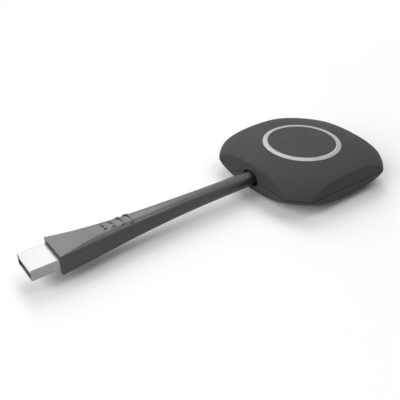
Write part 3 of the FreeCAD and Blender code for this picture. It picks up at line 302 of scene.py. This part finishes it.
def insulator_white():
    return inner_plastic("insulator_white", (0.8, 0.8, 0.78), 0.42, grain=0.2, depth=0.004)


def insulator_black():
    return inner_plastic("insulator_black", (0.03, 0.03, 0.03), 0.45)


def core_plastic():
    return inner_plastic("core_plastic", (0.1, 0.1, 0.11), 0.5)


def carrier_plastic():
    return inner_plastic("carrier_plastic", (0.12, 0.12, 0.125), 0.48, grain=0.35, depth=0.014)


def chip_resin():
    return inner_plastic("chip_resin", (0.024, 0.024, 0.026), 0.6, grain=0.12, depth=0.008)


def coil_resin():
    return inner_plastic("coil_resin", (0.07, 0.07, 0.075), 0.55, grain=0.18, depth=0.012)


def emitter_lens():
    return inner_plastic("emitter_lens", (0.85, 0.72, 0.22), 0.2, depth=0.002, Coat_Weight=0.6)


def thermal_gel():
    return inner_plastic("thermal_gel", (0.2, 0.27, 0.42), 0.75, grain=0.25, depth=0.02)


def ceramic():
    paint = Paint("ceramic", (0.62, 0.54, 0.42), 0.5)
    speck = paint.noise(size=0.12, detail=3.0)
    shade = paint.blend(paint.between(speck, low=0.4, high=0.6), (0.54, 0.46, 0.35), (0.66, 0.59, 0.47))
    paint.bump(speck, depth=0.006)
    return paint.done(shade, paint.spread(speck, 0.42, 0.58))


# The lead's jacket and wires, with streaks along the lead
def jacket_plastic():
    colour = (0.045, 0.045, 0.048)
    paint = Paint("jacket_plastic", colour, 0.5)
    streaks = paint.noise(size=0.25, detail=3.0, stretch=drawn_out(X, 0.05))
    shade = paint.blend(streaks, tinted(colour, 0.8), tinted(colour, 1.25))
    paint.bump(streaks, depth=0.008)
    return paint.done(shade, paint.spread(streaks, 0.42, 0.58))


def wire_skin():
    paint = Paint("wire_skin", WIRE_SHADES[0], 0.35)
    surface = paint.node("ShaderNodeNewGeometry")
    ramp = paint.node("ShaderNodeValToRGB")
    ramp.color_ramp.interpolation = "CONSTANT"
    stops = ramp.color_ramp.elements
    for index, shade in enumerate(WIRE_SHADES):
        position = index / len(WIRE_SHADES)
        stop = stops[index] if index < len(stops) else stops.new(position)
        stop.position = position
        stop.color = opaque(shade)
    paint.feed(ramp.inputs["Fac"], surface.outputs["Random Per Island"])
    streaks = paint.noise(size=0.2, stretch=drawn_out(X, 0.1))
    dull = paint.blend(paint.spread(streaks, end=0.15), ramp.outputs["Color"], WIRE_DULL_SHADE)
    paint.bump(streaks, depth=0.004)
    return paint.done(dull, paint.spread(streaks, 0.28, 0.42))


# Metals: brush lines and scratches run along one axis
def brushed(name, colour, roughness, along, line=0.05, depth=0.002, edge_wear_and_shade_tone=1.1):
    paint = Paint(name, colour, roughness, metallic=1.0)
    worn = paint.worn_edges(radius=0.1)
    lines = paint.noise(size=line, stretch=drawn_out(along, 0.03))
    scratches = paint.noise(size=0.3, detail=3.0, stretch=drawn_out(along, 0.02), harshness=0.75)
    scratched = paint.between(scratches, low=0.66, high=0.7)
    stain = paint.noise(size=3.0, detail=4.0, warp=0.8)
    shade = paint.blend(paint.spread(stain), tinted(colour, 0.96), tinted(colour, 1.03))
    shade = paint.blend(paint.times(scratched, 0.2), shade, tinted(colour, 0.8))
    # Edges take their own tone: lighter where worn, and on the plug shell darker, which is partly wear and
    # partly painted shade standing in for the dark reflection along its rounded edges
    shade = paint.blend(paint.times(worn, 0.5), shade, tinted(colour, edge_wear_and_shade_tone))
    gloss = paint.spread(stain, roughness, roughness + 0.04)
    gloss = paint.maths("ADD", gloss, paint.times(scratched, 0.08))
    paint.bump(paint.maths("SUBTRACT", lines, scratched), depth)
    return paint.done(shade, gloss)


def plug_steel():
    # The plug shell's edges are painted darker: painted shade for the dark reflection along its edges, as
    # well as wear
    return brushed("plug_steel", (0.3, 0.3, 0.303), 0.33, along=X, edge_wear_and_shade_tone=0.5)


def screw_steel():
    return brushed("screw_steel", (0.2, 0.2, 0.215), 0.4, along=Z, edge_wear_and_shade_tone=2.2)


def shield_metal():
    return brushed("shield_metal", (0.62, 0.62, 0.63), 0.36, along=Y)


def spreader_metal():
    return brushed("spreader_metal", (0.74, 0.75, 0.77), 0.38, along=Y, line=0.12, depth=0.006)


def contact_gold():
    return brushed("contact_gold", (0.84, 0.62, 0.24), 0.22, along=X, edge_wear_and_shade_tone=0.8)


# The lead's braid: strands that wind both ways round the lead's axis
def braid_metal():
    colour = (0.6, 0.58, 0.54)
    paint = Paint("braid_metal", colour, 0.42, metallic=0.9)
    split = paint.node("ShaderNodeSeparateXYZ")
    paint.feed(split.inputs[0], paint.place)
    rise = paint.maths("SUBTRACT", split.outputs["Z"], BRAID_HEIGHT)
    turn = paint.times(paint.maths("ARCTAN2", rise, split.outputs["Y"]), BRAID_STRANDS)
    run = paint.times(split.outputs["X"], 2 * math.pi / BRAID_PITCH)
    left = paint.maths("SINE", paint.maths("ADD", turn, run))
    right = paint.maths("SINE", paint.maths("SUBTRACT", turn, run))
    weave = paint.times(paint.maths("ADD", left, right), 0.25)
    strands = paint.noise(size=0.06)
    height = paint.maths("ADD", weave, paint.times(strands, 0.3))
    # The low parts of the weave are painted darker: painted shade in the hollows between the strands
    shade = paint.blend(paint.between(height, low=-0.4, high=0.5), tinted(colour, 0.45), colour)
    paint.bump(height, depth=0.08)
    return paint.done(shade, paint.spread(strands, 0.34, 0.5))


# Circuit board: solder mask over copper tracks, with bare round pads
def board_laminate():
    colour = (0.012, 0.055, 0.03)
    paint = Paint("board_laminate", colour, 0.3, Coat_Weight=0.3)
    steps = paint.maths("FRACT", paint.times(paint.cells(size=3.2, distance="MANHATTAN"), TRACK_STEPS))
    from_middle = paint.maths("ABSOLUTE", paint.maths("SUBTRACT", steps, 0.5))
    track = paint.between(from_middle, low=0.26, high=0.22)
    pads = paint.between(paint.cells(size=2.6), low=0.12, high=0.1)
    weave = paint.noise(size=0.5)
    shade = paint.blend(weave, tinted(colour, 0.85), tinted(colour, 1.2))
    shade = paint.blend(track, shade, TRACK_SHADE)
    shade = paint.blend(pads, shade, PAD_SHADE)
    paint.bump(paint.maths("ADD", paint.times(track, 0.6), paint.times(weave, 0.2)), depth=0.03)
    return paint.done(shade, paint.spread(weave, 0.26, 0.4))


FINISHES = {
    case_black: ("top_cover", "bottom_cover"),
    button_black: ("button_cap",),
    ring_satin: ("light_ring",),
    arm_rubber: ("lead_overmould",),
    foot_rubber: ("foot_pad",),
    plug_steel: ("plug_shell",),
    screw_steel: ("case_screws", "carrier_screws"),
    insulator_white: ("plug_tongue", "board_socket", "board_plug", "switch_stem"),
    insulator_black: ("board_link", "switch_body"),
    contact_gold: ("plug_contacts", "link_pins"),
    core_plastic: ("plug_core",),
    carrier_plastic: ("button_carrier",),
    jacket_plastic: ("lead_jacket",),
    braid_metal: ("lead_braid",),
    wire_skin: ("lead_conductors",),
    board_laminate: ("main_board", "light_board", "radio_board"),
    chip_resin: ("processor", "memory_chips", "power_chips"),
    shield_metal: ("radio_shield", "switch_frame", "crystal"),
    ceramic: ("antennas", "capacitors"),
    coil_resin: ("inductors",),
    emitter_lens: ("light_emitters",),
    thermal_gel: ("thermal_pad",),
    spreader_metal: ("heat_spreader",),
}


def finish_nodes():
    for finish, names in FINISHES.items():
        material = finish()
        for name in names:
            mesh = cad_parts[name].data
            mesh.materials.clear()
            mesh.materials.append(material)


# One for rays that show the background itself, and nought for rays that only carry its light
def seen_rays(tree):
    rays = tree.nodes.new("ShaderNodeLightPath")
    total = rays.outputs["Is Camera Ray"]
    for kind in ("Is Glossy Ray", "Is Transmission Ray"):
        either = tree.nodes.new("ShaderNodeMath")
        tree.links.new(total, either.inputs[0])
        tree.links.new(rays.outputs[kind], either.inputs[1])
        total = either.outputs["Value"]
    return total


# Pale floor that keeps the shadow near the object and turns into plain white further out
def white_sweep():
    paint = Paint("floor_white", (FLOOR_SHADE, FLOOR_SHADE, FLOOR_SHADE), 0.9)
    away = paint.vector_maths("SUBTRACT", paint.place, LIT_PLACE / MM)
    far = paint.between(paint.vector_maths("LENGTH", away), SWEEP_NEAR, SWEEP_FAR)
    glow = paint.node("ShaderNodeEmission")
    mixed = paint.node("ShaderNodeMixShader")
    paint.feed(mixed.inputs["Fac"], paint.times(far, seen_rays(paint.tree)))
    paint.feed(mixed.inputs[1], paint.shader.outputs["BSDF"])
    paint.feed(mixed.inputs[2], glow.outputs["Emission"])
    paint.feed(paint.tree.nodes["Material Output"].inputs["Surface"], mixed.outputs["Shader"])
    return paint.material


def make_floor():
    mesh = bpy.data.meshes.new("floor")
    corners = [(FLOOR_HALF * x, FLOOR_HALF * y, 0) for x, y in ((-1, -1), (1, -1), (1, 1), (-1, 1))]
    mesh.from_pydata(corners, [], [(0, 1, 2, 3)])
    floor = bpy.data.objects.new("floor", mesh)
    bpy.context.scene.collection.objects.link(floor)
    floor.data.materials.append(white_sweep())


def make_world():
    world = bpy.data.worlds.new("studio")
    world.use_nodes = True
    tree = world.node_tree
    background = tree.nodes["Background"]
    background.inputs["Color"].default_value = (1, 1, 1, 1)
    seen = tree.nodes.new("ShaderNodeMapRange")
    seen.inputs["To Min"].default_value = WORLD_LIGHT
    tree.links.new(seen_rays(tree), seen.inputs["Value"])
    tree.links.new(seen.outputs["Result"], background.inputs["Strength"])
    bpy.context.scene.world = world


make_camera()
make_floor()
make_world()
for lamp in LAMPS:
    make_lamp(*lamp)
finish_nodes()
bpy.context.scene.view_settings.view_transform = "Standard"
